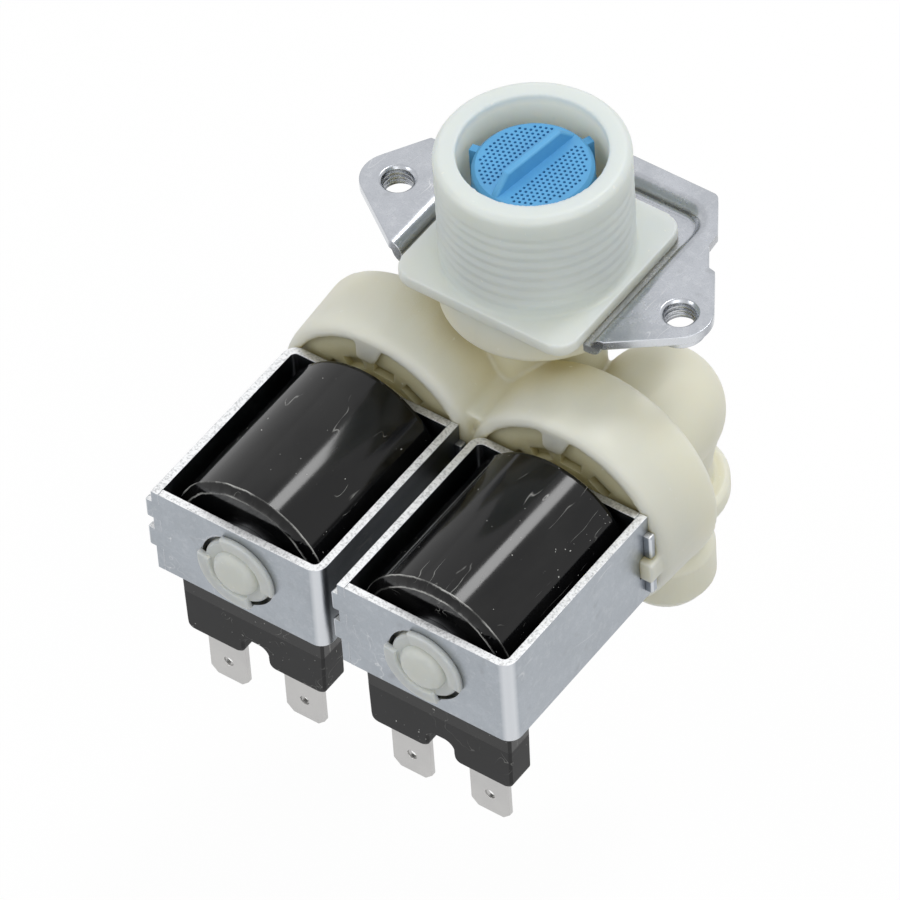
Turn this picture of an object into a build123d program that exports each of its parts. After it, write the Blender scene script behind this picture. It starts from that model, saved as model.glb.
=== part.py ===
"""Washing machine inlet valve: two solenoid valves on one moulded body.

Millimetres, +Z up along the inlet spigot. The origin is on the spigot's axis, level with
the top of the mounting bracket's ears, midway between its two screw holes. X runs from
one solenoid to the other, and the solenoids lie along Y with their connectors at -Y.

Each unit is described along its own axis by stations: a station is the distance behind
the inner face of its coil frame's back wall, so the coil is at negative stations and the
water chamber at positive ones.
"""

import os
from math import acos, degrees, sin, sqrt

from build123d import *

# Coils and the frames round them
winding_depth = 3.7
winding_slack = 0.2
coil_side_gap = 0.15
coil_back_gap = 0.7
coil_front_gap = 1.4
coil_cap = 0.9
coil_back_edge = 1.1
coil_chamfer = 1.3
coil_chamfer_run = 0.9
resin_wall = 1.4
frame_strip = 15.0
frame_steel = 1.2
frame_gap = 2.9
frame_inner_length = 29.5
frame_bend_r = 0.8
finger_reach = 1.2
finger_heads = ((2.0, 5.2), (7.4, 10.8))
rear_finger_heads = ((2.8, 6.9), (10.6, 13.5))
finger_rounding = 0.45

# Layout
solenoid_drop = 27.2
frame_setback = 18.9
fit_gap = 0.05

# Inlet spigot, G3/4 over its thread, and the flange and neck under it
spigot_d = 26.4
spigot_height = 18.1
spigot_wall = 3.1
spigot_chamfer = 0.8
flange_side = 28.3
flange_thickness = 2.0
flange_corner_r = 3.0
neck_d = 27.4
neck_bottom = 8.6
neck_edge_r = 1.2
column_d = 17.0
column_wall = 2.2
filter_ledge_z = 5.0
filter_ledge = 1.2
regulator_ledge_z = -3.0

# Water chambers, one bell for each unit
bell_front = 1.2
bell_front_d = 32.5
bell_back_d = 33.6
bell_back = 13.0
bell_wall = 1.9
bell_septum = 1.7
bell_rim = 0.8
bell_shoulder = 1.8
bell_back_edge = 0.4
bell_web_r = 2.0
clamp_seat = 7.6
clamp_ledge = 2.4
chamber_end_wall = 2.0
outlet_seat = 8.2
outlet_seat_d = 10.6
outlet_bore_d = 7.8

# Ports from the column into the chambers, through a bridge between column and elbows
feed_port_width = 3.0
feed_port_height = 6.0
feed_port_offset = 10.2
bridge_height = 9.0

# Retaining tab at the top of each rim, and the key beside each frame
rim_tab_left = -3.0
rim_tab_right = 1.5
rim_tab_foot = (-2.9, -0.1)
rim_tab_reach = 3.45
rim_tab_r = 0.8
key_width = 3.4
key_drop = 1.1
key_reach = 2.2
key_root = 1.3
key_clearance = 0.1
key_slot_play = 0.3

# Outlet elbows and hose tails
outlet_station = 23.5
elbow_d = 18.0
tail_neck_d = 14.0
tail_neck_drop = 9.0
collar_d = 18.5
collar_drop = 13.0
collar_thickness = 3.4
collar_edge = 0.6
hose_root_d = 11.2
bead_d = 13.8
bead_drop = 26.4
bead_length = 5.5
bead_lead = 1.0
tail_drop = 34.0
tail_tip_d = 11.0

# Mounting bracket of pressed sheet
sheet = 1.5
screw_spacing = 45.5
screw_bore_d = 4.2
screw_countersink = 0.5
screw_collar_d = 7.0
screw_collar_height = 3.2
ear_r = 4.6
plate_corner_r = 1.2
pocket_play = 0.7
pocket_back_play = 2.0
pocket_corner_r = 5.0
pocket_bend_r = 0.5
slot_gap = 0.25
bracket_front = 9.9
# Corners of the plate, measured from the pocket's back corner and from the screw hole
plate_shoulders = ((-2.4, 1.95), (1.6, -4.1), (1.8, -6.4), (4.0, -9.7))
ear_steps = {-1: (6.2, -9.9), 1: (5.1, -9.9)}
ear_corners = {-1: (6.95, -1.4), 1: (6.05, -1.0)}

# Terminal blocks and their blades
block_front_gap = 0.7
block_depth = 4.3
block_side_gap = 0.5
block_draft = 0.4
block_bottom = 20.0
block_edge_chamfer = 0.35
notch_width = 4.0
notch_height = 3.4
notch_r = 1.3
blade_pitch = 12.7
blade_width = 6.3
blade_thickness = 0.8
blade_setback = 2.85
blade_bottom = 29.2
blade_top = 11.7
blade_hole_d = 1.5
blade_hole_height = 3.5
blade_tip_chamfer = 1.1

# Bonnets and the moving parts inside them
bonnet_clearance = 0.05
bonnet_flange_front = 2.0
bonnet_flange_thickness = 3.6
bonnet_boss_d = 15.0
bonnet_shelf = 2.55
window_count = 12
window_turn = 24
window_inner_r = 8.6
window_outer_r = 10.4
window_width = 3.3
window_depth = 1.1
plunger_d = 8.0
plunger_play = 0.08
plunger_length = 26.0
guide_wall = 1.12
guide_end_wall = 1.0
guide_proud = 0.3
dome_r = 3.5
dome_rise = 1.6
snap_inner_r = 4.2
snap_reach = 0.9
snap_thickness = 0.9
snap_turns = (50, 230)
snap_span = 120
guide_hole_gap = 0.6
sleeve_length = 9.4
sleeve_wall = 0.95
bobbin_wall = 0.8
bobbin_cheek = 0.9
diaphragm_lift = 1.7
lift_clearance = 0.3
seal_wall = 1.5
seal_proud = 1.0
spring_wire_d = 0.5
spring_play = 0.3
spring_seat_wall = 1.1
spring_turns = 7
spring_seat_depth = 6.0
membrane = 1.0
diaphragm_rim = 2.0
carrier_margin = 1.2
carrier_disc = 1.4
carrier_hub_d = 4.6
carrier_tail = 4.6
pilot_bore_d = 0.9
pilot_nozzle = 0.6

# Inlet filter
filter_play = 0.1
filter_brim = 1.85
filter_depth = 2.9
filter_skin = 0.9
filter_brim_thickness = 1.4
filter_fin_width = 1.2
filter_fin_length = 1.05
filter_fin_drop = 0.5
filter_fin_turn = 68
filter_rib_height = 2.6
filter_rib_thickness = 1.1
filter_rib_inset = 0.55
filter_rib_slope = 2.5
filter_rib_turn = 8.0
filter_rib_rounding = 0.35

# Flow regulator
regulator_play = 0.1
regulator_height = 4.6
regulator_floor = 1.4
washer_d = 12.6
washer_bore_d = 4.6
washer_thickness = 2.6

# Sizes that follow: from the plunger out through guide, winding, coil and frame
guide_bore_d = plunger_d + 2 * plunger_play
guide_d = guide_bore_d + 2 * guide_wall
seal_d = plunger_d - 2 * seal_wall
spring_d = plunger_d - 2 * (spring_seat_wall + spring_play)
frame_hole_d = guide_d + 2 * guide_hole_gap
bobbin_bore_d = guide_d + 2 * (sleeve_wall + 2 * fit_gap)
winding_in_d = bobbin_bore_d + 2 * (bobbin_wall + fit_gap)
winding_out_d = winding_in_d + 2 * winding_depth
bobbin_cheek_d = winding_out_d + 2 * winding_slack
coil_d = bobbin_cheek_d + 2 * resin_wall
frame_inner_width = coil_d + 2 * coil_side_gap
frame_width = frame_inner_width + 2 * frame_steel
bell_opening_d = bell_front_d - 2 * bell_wall
chamber_d = bell_opening_d - 2 * clamp_ledge
chamber_back = bell_back - chamber_end_wall
bonnet_cavity_d = chamber_d - 2 * bonnet_shelf
carrier_d = bonnet_cavity_d - 2 * carrier_margin

# The two units stand as close as their frames and their chambers allow
unit_pitch = max(frame_width + frame_gap, bell_opening_d + bell_septum)
axis_z = -solenoid_drop
back_wall_y = -frame_setback
front_wall = -frame_inner_length
frame_front = front_wall - frame_steel
outlet_y = back_wall_y + outlet_station
diaphragm_front = bonnet_flange_front + bonnet_flange_thickness
carrier_face = outlet_seat - membrane - carrier_disc
carrier_front = carrier_face - pilot_nozzle
bonnet_cavity_front = carrier_face - diaphragm_lift - lift_clearance

# The spigot's bore and what stands in it
spigot_bore_d = spigot_d - 2 * spigot_wall
filter_ledge_d = spigot_bore_d - 2 * filter_ledge
filter_brim_d = spigot_bore_d - 2 * filter_play
filter_d = filter_brim_d - 2 * filter_brim
filter_fin_reach = filter_d / 2 + filter_fin_length
filter_rib_base = filter_d - 2 * filter_rib_inset
filter_rib_ridge = filter_rib_base - 2 * filter_rib_slope
regulator_d = filter_ledge_d - 2 * regulator_play

# The pocket's wall is an S bend, down by the thickness of the flange it takes
pocket_bend = acos(1 - flange_thickness / (2 * pocket_bend_r + sheet))
pocket_wall_run = (2 * pocket_bend_r + sheet) * sin(pocket_bend)
pocket_half_width = flange_side / 2 + pocket_play + pocket_wall_run
pocket_back = flange_side / 2 + pocket_back_play + pocket_wall_run
outer_bend_r = pocket_bend_r + sheet
floor_z = -flange_thickness - sheet

os.makedirs("parts", exist_ok=True)


def section(unit_x, outline):
    """Closed half outline of (station, radius) points in the plane of a unit's axis."""
    with BuildSketch(Plane.YZ.offset(unit_x)) as half:
        with BuildLine():
            Polyline(*[(back_wall_y + s, axis_z + r) for s, r in outline], close=True)
        make_face()
    return half.sketch


def unit_axis(unit_x):
    """Axis of one solenoid, pointing back towards its water chamber."""
    return Axis((unit_x, 0, axis_z), (0, 1, 0))


def station_plane(station, unit_x=0.0):
    """Plane square to the solenoids, facing forward, with its origin on the unit's axis."""
    return Plane((unit_x, back_wall_y + station, axis_z), x_dir=(1, 0, 0), z_dir=(0, -1, 0))


def keep(piece, node):
    """Label a finished piece and write it under its node's name."""
    piece.part.label = node
    export_step(piece.part, f"parts/{node}.step")


units = {"left": -unit_pitch / 2, "right": unit_pitch / 2}


def web_face(station, bell_r):
    """Section of the web that rounds off the grooves between the two bells."""
    apart = unit_pitch / 2
    centre_z = sqrt((bell_r + bell_web_r) ** 2 - apart**2)
    touch_x = apart * bell_web_r / (bell_r + bell_web_r)
    touch_z = centre_z * bell_r / (bell_r + bell_web_r)
    groove_z = centre_z - bell_web_r
    with BuildSketch(station_plane(station)) as web:
        with BuildLine():
            ThreePointArc((-touch_x, touch_z), (0, groove_z), (touch_x, touch_z))
            Line((touch_x, touch_z), (touch_x, -touch_z))
            ThreePointArc((touch_x, -touch_z), (0, -groove_z), (-touch_x, -touch_z))
            Line((-touch_x, -touch_z), (-touch_x, touch_z))
        make_face()
    return web.sketch


# Valve body
with BuildPart() as valve_body:
    # Spigot, flange, neck and the column that feeds both chambers
    with BuildSketch(Plane.XY) as spigot_face:
        Circle(spigot_d / 2)
    extrude(amount=spigot_height)
    chamfer(valve_body.edges().group_by(Axis.Z)[-1], spigot_chamfer)
    with BuildSketch(Plane.XY.offset(-flange_thickness)) as flange_face:
        RectangleRounded(flange_side, flange_side, flange_corner_r)
    extrude(amount=flange_thickness)
    with BuildSketch(Plane.XY.offset(-neck_bottom)) as neck_face:
        Circle(neck_d / 2)
    extrude(amount=neck_bottom - flange_thickness)
    fillet(valve_body.edges().group_by(Axis.Z)[0], radius=neck_edge_r)
    column_bottom = axis_z - outlet_bore_d / 2 - column_wall
    with BuildSketch(Plane.XY.offset(column_bottom)) as column_face:
        Circle(column_d / 2)
    extrude(amount=-neck_bottom - column_bottom)

    # Bells, elbows and hose tails
    bell_r = bell_front_d / 2
    rim_r = bell_opening_d / 2 + bell_rim
    collar_bottom = collar_drop + collar_thickness
    for unit_x in units.values():
        bell = section(
            unit_x,
            [
                (bell_front, 0),
                (bell_front, rim_r),
                (bell_front + bell_shoulder * 0.2, rim_r + (bell_r - rim_r) * 0.5),
                (bell_front + bell_shoulder * 0.55, rim_r + (bell_r - rim_r) * 0.85),
                (bell_front + bell_shoulder, bell_r),
                (bell_back - bell_back_edge, bell_back_d / 2),
                (bell_back, bell_back_d / 2 - bell_back_edge),
                (bell_back, 0),
            ],
        )
        revolve(bell, axis=unit_axis(unit_x))
        elbow = section(
            unit_x,
            [
                (bell_front + 1, 0),
                (bell_front + 1, elbow_d / 2),
                (outlet_station, elbow_d / 2),
                (outlet_station, 0),
            ],
        )
        revolve(elbow, axis=unit_axis(unit_x))
        with Locations((unit_x, outlet_y, axis_z)):
            Sphere(elbow_d / 2)
        with BuildSketch(Plane.XZ.offset(-outlet_y)) as tail_outline:
            with BuildLine():
                Polyline(
                    (unit_x, axis_z),
                    (unit_x + elbow_d / 2, axis_z),
                    (unit_x + tail_neck_d / 2, axis_z - tail_neck_drop),
                    (unit_x + tail_neck_d / 2, axis_z - collar_drop),
                    (unit_x + collar_d / 2 - collar_edge, axis_z - collar_drop),
                    (unit_x + collar_d / 2, axis_z - collar_drop - collar_edge),
                    (unit_x + collar_d / 2, axis_z - collar_bottom + collar_edge),
                    (unit_x + collar_d / 2 - collar_edge, axis_z - collar_bottom),
                    (unit_x + hose_root_d / 2, axis_z - collar_bottom),
                    (unit_x + hose_root_d / 2, axis_z - bead_drop + bead_lead),
                    (unit_x + bead_d / 2, axis_z - bead_drop),
                    (unit_x + bead_d / 2, axis_z - bead_drop - bead_length),
                    (unit_x + tail_tip_d / 2, axis_z - tail_drop),
                    (unit_x, axis_z - tail_drop),
                    close=True,
                )
            make_face()
        revolve(axis=Axis((unit_x, outlet_y, 0), (0, 0, 1)))
    front_web = web_face(bell_front + bell_shoulder, bell_r)
    back_web = web_face(bell_back - bell_back_edge, bell_back_d / 2)
    loft((front_web, back_web))
    with BuildSketch(station_plane(frame_setback)) as bridge_face:
        Rectangle(unit_pitch, bridge_height)
    extrude(amount=frame_setback - chamber_back)

    # Water ways
    with BuildSketch(Plane.XY.offset(spigot_height)) as bore_face:
        Circle(spigot_bore_d / 2)
    extrude(amount=filter_ledge_z - spigot_height, mode=Mode.SUBTRACT)
    with BuildSketch(Plane.XY.offset(filter_ledge_z)) as ledge_face:
        Circle(filter_ledge_d / 2)
    extrude(amount=regulator_ledge_z - filter_ledge_z, mode=Mode.SUBTRACT)
    with BuildSketch(Plane.XY.offset(regulator_ledge_z)) as column_bore_face:
        Circle(column_d / 2 - column_wall)
    extrude(amount=axis_z - outlet_bore_d / 2 - regulator_ledge_z, mode=Mode.SUBTRACT)
    for unit_x in units.values():
        chamber = section(
            unit_x,
            [
                (bell_front, 0),
                (bell_front, bell_opening_d / 2),
                (clamp_seat, bell_opening_d / 2),
                (clamp_seat, chamber_d / 2),
                (chamber_back, chamber_d / 2),
                (chamber_back, outlet_seat_d / 2),
                (outlet_seat, outlet_seat_d / 2),
                (outlet_seat, outlet_bore_d / 2),
                (outlet_station, outlet_bore_d / 2),
                (outlet_station, 0),
            ],
        )
        revolve(chamber, axis=unit_axis(unit_x), mode=Mode.SUBTRACT)
        with BuildSketch(Plane.XY.offset(axis_z)) as outlet_face:
            with Locations((unit_x, outlet_y)):
                Circle(outlet_bore_d / 2)
        extrude(amount=-tail_drop, mode=Mode.SUBTRACT)
    with BuildSketch(station_plane(frame_setback)) as feed_ports:
        for side in (-1, 1):
            with Locations((side * (unit_pitch / 2 - feed_port_offset), 0)):
                SlotOverall(feed_port_height, feed_port_width, rotation=90)
    extrude(amount=frame_setback - chamber_back, mode=Mode.SUBTRACT)

    # Retaining tab at the top of each rim and the key that stops the frame turning
    opening_r = bell_opening_d / 2
    tab_back = bonnet_flange_front - fit_gap
    tab_foot_z = opening_r - rim_tab_reach
    key_in = frame_inner_width / 2 + key_clearance
    key_out = max(opening_r + key_root, key_in + key_root)
    for unit_x in units.values():
        with BuildSketch(station_plane(tab_back, unit_x)) as tab_face:
            with BuildLine():
                Polyline(
                    (rim_tab_left, rim_r),
                    (rim_tab_foot[0], tab_foot_z),
                    (rim_tab_foot[1], tab_foot_z),
                    (rim_tab_right, opening_r),
                    (rim_tab_right, rim_r),
                    close=True,
                )
            make_face()
            fillet(tab_face.vertices().group_by(Axis.Y)[0], radius=rim_tab_r)
        extrude(amount=tab_back - bell_front)
        with BuildSketch(station_plane(tab_back, unit_x)) as key_face:
            with Locations(((key_in + key_out) / 2, -key_drop)):
                RectangleRounded(key_out - key_in, key_width, rim_tab_r / 2)
        extrude(amount=tab_back - bell_front + key_reach)
keep(valve_body, "valve_body")


# Mounting bracket
def bracket_outline(side):
    """One half of the bracket's outer edge, from the middle of its back to its front."""
    shoulders = [(pocket_half_width + x, pocket_back + y) for x, y in (*plate_shoulders, ear_steps[side])]
    ear_x, ear_y = ear_corners[side]
    corners = [*shoulders, (screw_spacing / 2 + ear_x, ear_y), (pocket_half_width, -bracket_front)]
    return [(0, shoulders[0][1]), *[(side * x, y) for x, y in corners], (0, -bracket_front)]


def rounded_pocket(inset):
    """The pocket's outline, drawn in by an inset and left open at the bracket's front."""
    length = pocket_back - inset + bracket_front + pocket_corner_r
    with Locations((0, pocket_back - inset - length / 2)):
        return RectangleRounded(
            2 * (pocket_half_width - inset),
            length,
            pocket_corner_r - inset,
            mode=Mode.PRIVATE,
        )


with BuildPart() as mounting_bracket:
    with BuildSketch(Plane.XY.offset(-sheet)) as plate_face:
        for side in (-1, 1):
            with BuildLine():
                Polyline(*bracket_outline(side), close=True)
            make_face()
        fillet(
            plate_face.vertices().filter_by(lambda corner: abs(corner.X) > screw_spacing / 2 + ear_r),
            radius=ear_r,
        )
        fillet(
            plate_face.vertices().group_by(Axis.Y)[-1].filter_by(lambda corner: abs(corner.X) > 1),
            radius=plate_corner_r,
        )
        add(rounded_pocket(0), mode=Mode.SUBTRACT)
    extrude(amount=sheet)
    with BuildLine() as pocket_path:
        FilletPolyline(
            (-pocket_half_width, -bracket_front),
            (-pocket_half_width, pocket_back),
            (pocket_half_width, pocket_back),
            (pocket_half_width, -bracket_front),
            radius=pocket_corner_r,
        )
    wall_start = Plane((-pocket_half_width, -bracket_front, 0), x_dir=(-1, 0, 0), z_dir=(0, 1, 0))
    with BuildSketch(wall_start) as wall_section:
        with BuildLine():
            top_bend = JernArc((0, 0), (-1, 0), outer_bend_r, degrees(pocket_bend))
            foot_bend = JernArc(top_bend @ 1, top_bend % 1, pocket_bend_r, -degrees(pocket_bend))
            under = (foot_bend @ 1) - Vector(0, sheet)
            Line(foot_bend @ 1, under)
            foot_back = JernArc(under, (1, 0), outer_bend_r, degrees(pocket_bend))
            JernArc(foot_back @ 1, foot_back % 1, pocket_bend_r, -degrees(pocket_bend))
            Line((0, -sheet), (0, 0))
        make_face()
    sweep(path=pocket_path.wire())
    with BuildSketch(Plane.XY.offset(floor_z)) as floor_face:
        add(rounded_pocket(pocket_wall_run))
        with Locations((0, -bracket_front)):
            Rectangle(
                4 * pocket_half_width,
                2 * pocket_corner_r + 2,
                align=(Align.CENTER, Align.MAX),
                mode=Mode.SUBTRACT,
            )
    extrude(amount=sheet)
    # Slot that slides round the neck
    slot_r = neck_d / 2 + slot_gap
    with BuildSketch(Plane.XY.offset(floor_z)) as slot_face:
        Circle(slot_r)
        with Locations((0, -bracket_front)):
            Rectangle(2 * slot_r, 2 * bracket_front)
    extrude(amount=-floor_z, mode=Mode.SUBTRACT)
    # Screw holes, drawn down into collars that carry the thread
    with BuildSketch(Plane.XY.offset(-screw_collar_height)) as collar_face:
        with Locations((-screw_spacing / 2, 0), (screw_spacing / 2, 0)):
            Circle(screw_collar_d / 2)
    extrude(amount=screw_collar_height - sheet / 2)
    with Locations((-screw_spacing / 2, 0, 0), (screw_spacing / 2, 0, 0)):
        CounterSinkHole(screw_bore_d / 2, screw_bore_d / 2 + screw_countersink, counter_sink_angle=90)
keep(mounting_bracket, "mounting_bracket")


# Inlet filter: a perforated cap on a brim, with a rib to pull it out by
filter_top = spigot_height - filter_depth
with BuildPart() as inlet_filter:
    with BuildSketch(Plane.XZ) as cap_outline:
        with BuildLine():
            Polyline(
                (0, filter_top),
                (filter_d / 2 - 0.5, filter_top),
                (filter_d / 2, filter_top - 0.5),
                (filter_d / 2 + 0.3, filter_ledge_z + filter_brim_thickness),
                (filter_brim_d / 2, filter_ledge_z + filter_brim_thickness),
                (filter_brim_d / 2, filter_ledge_z),
                (filter_d / 2 - filter_skin, filter_ledge_z),
                (filter_d / 2 - filter_skin, filter_top - filter_skin),
                (0, filter_top - filter_skin),
                close=True,
            )
        make_face()
    revolve(axis=Axis.Z)
    rib_plane = Plane.YZ.rotated((0, 0, -filter_rib_turn)).offset(-filter_rib_thickness / 2)
    with BuildSketch(rib_plane) as rib_outline:
        with BuildLine():
            Polyline(
                (-filter_rib_base / 2, filter_top - filter_skin / 2),
                (-filter_rib_base / 2, filter_top),
                (-filter_rib_ridge / 2, filter_top + filter_rib_height),
                (filter_rib_ridge / 2, filter_top + filter_rib_height),
                (filter_rib_base / 2, filter_top),
                (filter_rib_base / 2, filter_top - filter_skin / 2),
                close=True,
            )
        make_face()
    extrude(amount=filter_rib_thickness)
    rib_edges = inlet_filter.edges().filter_by_position(
        Axis.Z, filter_top + filter_rib_rounding, filter_top + filter_rib_height + filter_rib_rounding
    )
    fillet(rib_edges, radius=filter_rib_rounding)
    with BuildSketch(Plane.XY.offset(filter_ledge_z)) as fin_faces:
        with PolarLocations(0, 3, start_angle=filter_fin_turn):
            with Locations(((filter_fin_reach + filter_d / 2 - filter_skin) / 2, 0)):
                Rectangle(filter_fin_reach - filter_d / 2 + filter_skin, filter_fin_width)
    extrude(amount=filter_top - filter_fin_drop - filter_ledge_z)
keep(inlet_filter, "inlet_filter")


# Flow regulator: a slotted cup and the rubber washer that it holds
with BuildPart() as flow_regulator_holder:
    with BuildSketch(Plane.XY.offset(regulator_ledge_z)) as cup_face:
        Circle(regulator_d / 2)
    extrude(amount=regulator_height)
    with BuildSketch(Plane.XY.offset(regulator_ledge_z + regulator_floor)) as washer_seat:
        Circle(washer_d / 2 + fit_gap)
    extrude(amount=regulator_height, mode=Mode.SUBTRACT)
    with BuildSketch(Plane.XY.offset(regulator_ledge_z)) as cup_slots:
        Circle(washer_bore_d / 2 - 0.6)
        with PolarLocations(washer_d / 4 + 0.4, 6):
            Rectangle(2.4, 1.6)
    extrude(amount=regulator_height, mode=Mode.SUBTRACT)
keep(flow_regulator_holder, "flow_regulator_holder")

with BuildPart() as flow_regulator_washer:
    with BuildSketch(Plane.XY.offset(regulator_ledge_z + regulator_floor)) as washer_face:
        Circle(washer_d / 2)
        Circle(washer_bore_d / 2, mode=Mode.SUBTRACT)
    extrude(amount=washer_thickness)
keep(flow_regulator_washer, "flow_regulator_washer")


def finger_sketch_z(span):
    """Middle height and height of a finger given by its depths below the strip's edge."""
    top, bottom = span
    return frame_strip / 2 - (top + bottom) / 2, bottom - top


def make_frame_front(unit_x):
    """Front wall and right wall, one strip bent at the front right corner."""
    half = frame_inner_width / 2
    with BuildPart() as strip:
        with BuildSketch(Plane.XY.offset(axis_z - frame_strip / 2)) as strip_face:
            with BuildLine():
                FilletPolyline(
                    (unit_x - half, back_wall_y + frame_front),
                    (unit_x + half + frame_steel, back_wall_y + frame_front),
                    (unit_x + half + frame_steel, back_wall_y + frame_steel),
                    radius=frame_bend_r + frame_steel,
                )
                Line(
                    (unit_x + half + frame_steel, back_wall_y + frame_steel),
                    (unit_x + half, back_wall_y + frame_steel),
                )
                FilletPolyline(
                    (unit_x + half, back_wall_y + frame_steel),
                    (unit_x + half, back_wall_y + front_wall),
                    (unit_x - half, back_wall_y + front_wall),
                    radius=frame_bend_r,
                )
                Line(
                    (unit_x - half, back_wall_y + front_wall),
                    (unit_x - half, back_wall_y + frame_front),
                )
            make_face()
        extrude(amount=frame_strip)
        # Fingers of the front wall, which pass through the left wall
        with BuildSketch(station_plane(front_wall, unit_x)) as finger_faces:
            for span in finger_heads:
                middle, height = finger_sketch_z(span)
                reach = frame_steel + finger_reach
                with Locations((-half - reach / 2, middle)):
                    Rectangle(reach, height)
        extrude(amount=frame_steel)
        head_faces = strip.faces().group_by(Axis.X)[0]
        fillet(head_faces.edges(), radius=finger_rounding)
        # Windows in the right wall's rear edge for the back wall's fingers and the key
        with BuildSketch(Plane.YZ.offset(unit_x + half)) as rear_notches:
            for span in rear_finger_heads:
                middle, height = finger_sketch_z(span)
                with Locations((back_wall_y + frame_steel / 2, axis_z + middle)):
                    Rectangle(frame_steel + 0.02, height)
            with Locations((back_wall_y + frame_steel, axis_z - key_drop)):
                Rectangle(2 * (key_reach + key_clearance), key_width + key_slot_play)
        extrude(amount=frame_steel, mode=Mode.SUBTRACT)
        with BuildSketch(station_plane(front_wall, unit_x)) as guide_hole:
            Circle(frame_hole_d / 2)
        extrude(amount=frame_steel, mode=Mode.SUBTRACT)
    return strip


def make_frame_back(unit_x):
    """Back wall and left wall, one strip bent at the back left corner."""
    half = frame_inner_width / 2
    with BuildPart() as strip:
        with BuildSketch(Plane.XY.offset(axis_z - frame_strip / 2)) as strip_face:
            with BuildLine():
                FilletPolyline(
                    (unit_x + half, back_wall_y + frame_steel),
                    (unit_x - half - frame_steel, back_wall_y + frame_steel),
                    (unit_x - half - frame_steel, back_wall_y + frame_front),
                    radius=frame_bend_r + frame_steel,
                )
                Line(
                    (unit_x - half - frame_steel, back_wall_y + frame_front),
                    (unit_x - half, back_wall_y + frame_front),
                )
                FilletPolyline(
                    (unit_x - half, back_wall_y + frame_front),
                    (unit_x - half, back_wall_y),
                    (unit_x + half, back_wall_y),
                    radius=frame_bend_r,
                )
                Line(
                    (unit_x + half, back_wall_y),
                    (unit_x + half, back_wall_y + frame_steel),
                )
            make_face()
        extrude(amount=frame_strip)
        # Fingers of the back wall, which pass through the right wall
        with BuildSketch(station_plane(frame_steel, unit_x)) as finger_faces:
            for span in rear_finger_heads:
                middle, height = finger_sketch_z(span)
                reach = frame_steel + finger_reach
                with Locations((half + reach / 2, middle)):
                    Rectangle(reach, height)
        extrude(amount=frame_steel)
        head_faces = strip.faces().group_by(Axis.X)[-1]
        fillet(head_faces.edges(), radius=finger_rounding)
        # Windows in the left wall's front edge for the front wall's fingers
        with BuildSketch(Plane.YZ.offset(unit_x - half - frame_steel)) as front_notches:
            for span in finger_heads:
                middle, height = finger_sketch_z(span)
                with Locations((back_wall_y + front_wall - frame_steel / 2, axis_z + middle)):
                    Rectangle(frame_steel + 0.02, height)
        extrude(amount=frame_steel, mode=Mode.SUBTRACT)
        # Clearance for the key beside the back wall's end
        with BuildSketch(station_plane(frame_steel, unit_x)) as key_clearance:
            with Locations((half + frame_steel, -key_drop)):
                Rectangle(2 * frame_steel, key_width + key_slot_play)
        extrude(amount=frame_steel, mode=Mode.SUBTRACT)
        with BuildSketch(station_plane(frame_steel, unit_x)) as guide_hole:
            Circle(frame_hole_d / 2)
        extrude(amount=frame_steel, mode=Mode.SUBTRACT)
    return strip


coil_back = -coil_back_gap
coil_front = front_wall + coil_front_gap
bobbin_back = coil_back - coil_cap
bobbin_front = coil_front + coil_cap
winding_back = bobbin_back - bobbin_cheek
winding_front = bobbin_front + bobbin_cheek


def make_bobbin(unit_x):
    """Bobbin with a cheek at each end."""
    bore = bobbin_bore_d / 2
    with BuildPart() as bobbin:
        spool = section(
            unit_x,
            [
                (bobbin_back, bore),
                (bobbin_back, bobbin_cheek_d / 2),
                (winding_back, bobbin_cheek_d / 2),
                (winding_back, bore + bobbin_wall),
                (winding_front, bore + bobbin_wall),
                (winding_front, bobbin_cheek_d / 2),
                (bobbin_front, bobbin_cheek_d / 2),
                (bobbin_front, bore),
            ],
        )
        revolve(spool, axis=unit_axis(unit_x))
    return bobbin


def make_winding(unit_x):
    """Wound copper, as one ring between the cheeks."""
    with BuildPart() as winding:
        ring = section(
            unit_x,
            [
                (winding_back - fit_gap, winding_in_d / 2),
                (winding_back - fit_gap, winding_out_d / 2),
                (winding_front + fit_gap, winding_out_d / 2),
                (winding_front + fit_gap, winding_in_d / 2),
            ],
        )
        revolve(ring, axis=unit_axis(unit_x))
    return winding


def make_sleeve(unit_x, wall_station, direction):
    """Rolled steel sleeve that leads the flux from a frame wall into the bobbin."""
    inner = guide_d / 2 + fit_gap
    outer = bobbin_bore_d / 2 - fit_gap
    with BuildPart() as sleeve:
        tube = section(
            unit_x,
            [
                (wall_station, inner),
                (wall_station, outer),
                (wall_station + direction * sleeve_length, outer),
                (wall_station + direction * sleeve_length, inner),
            ],
        )
        revolve(tube, axis=unit_axis(unit_x))
    return sleeve


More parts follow.
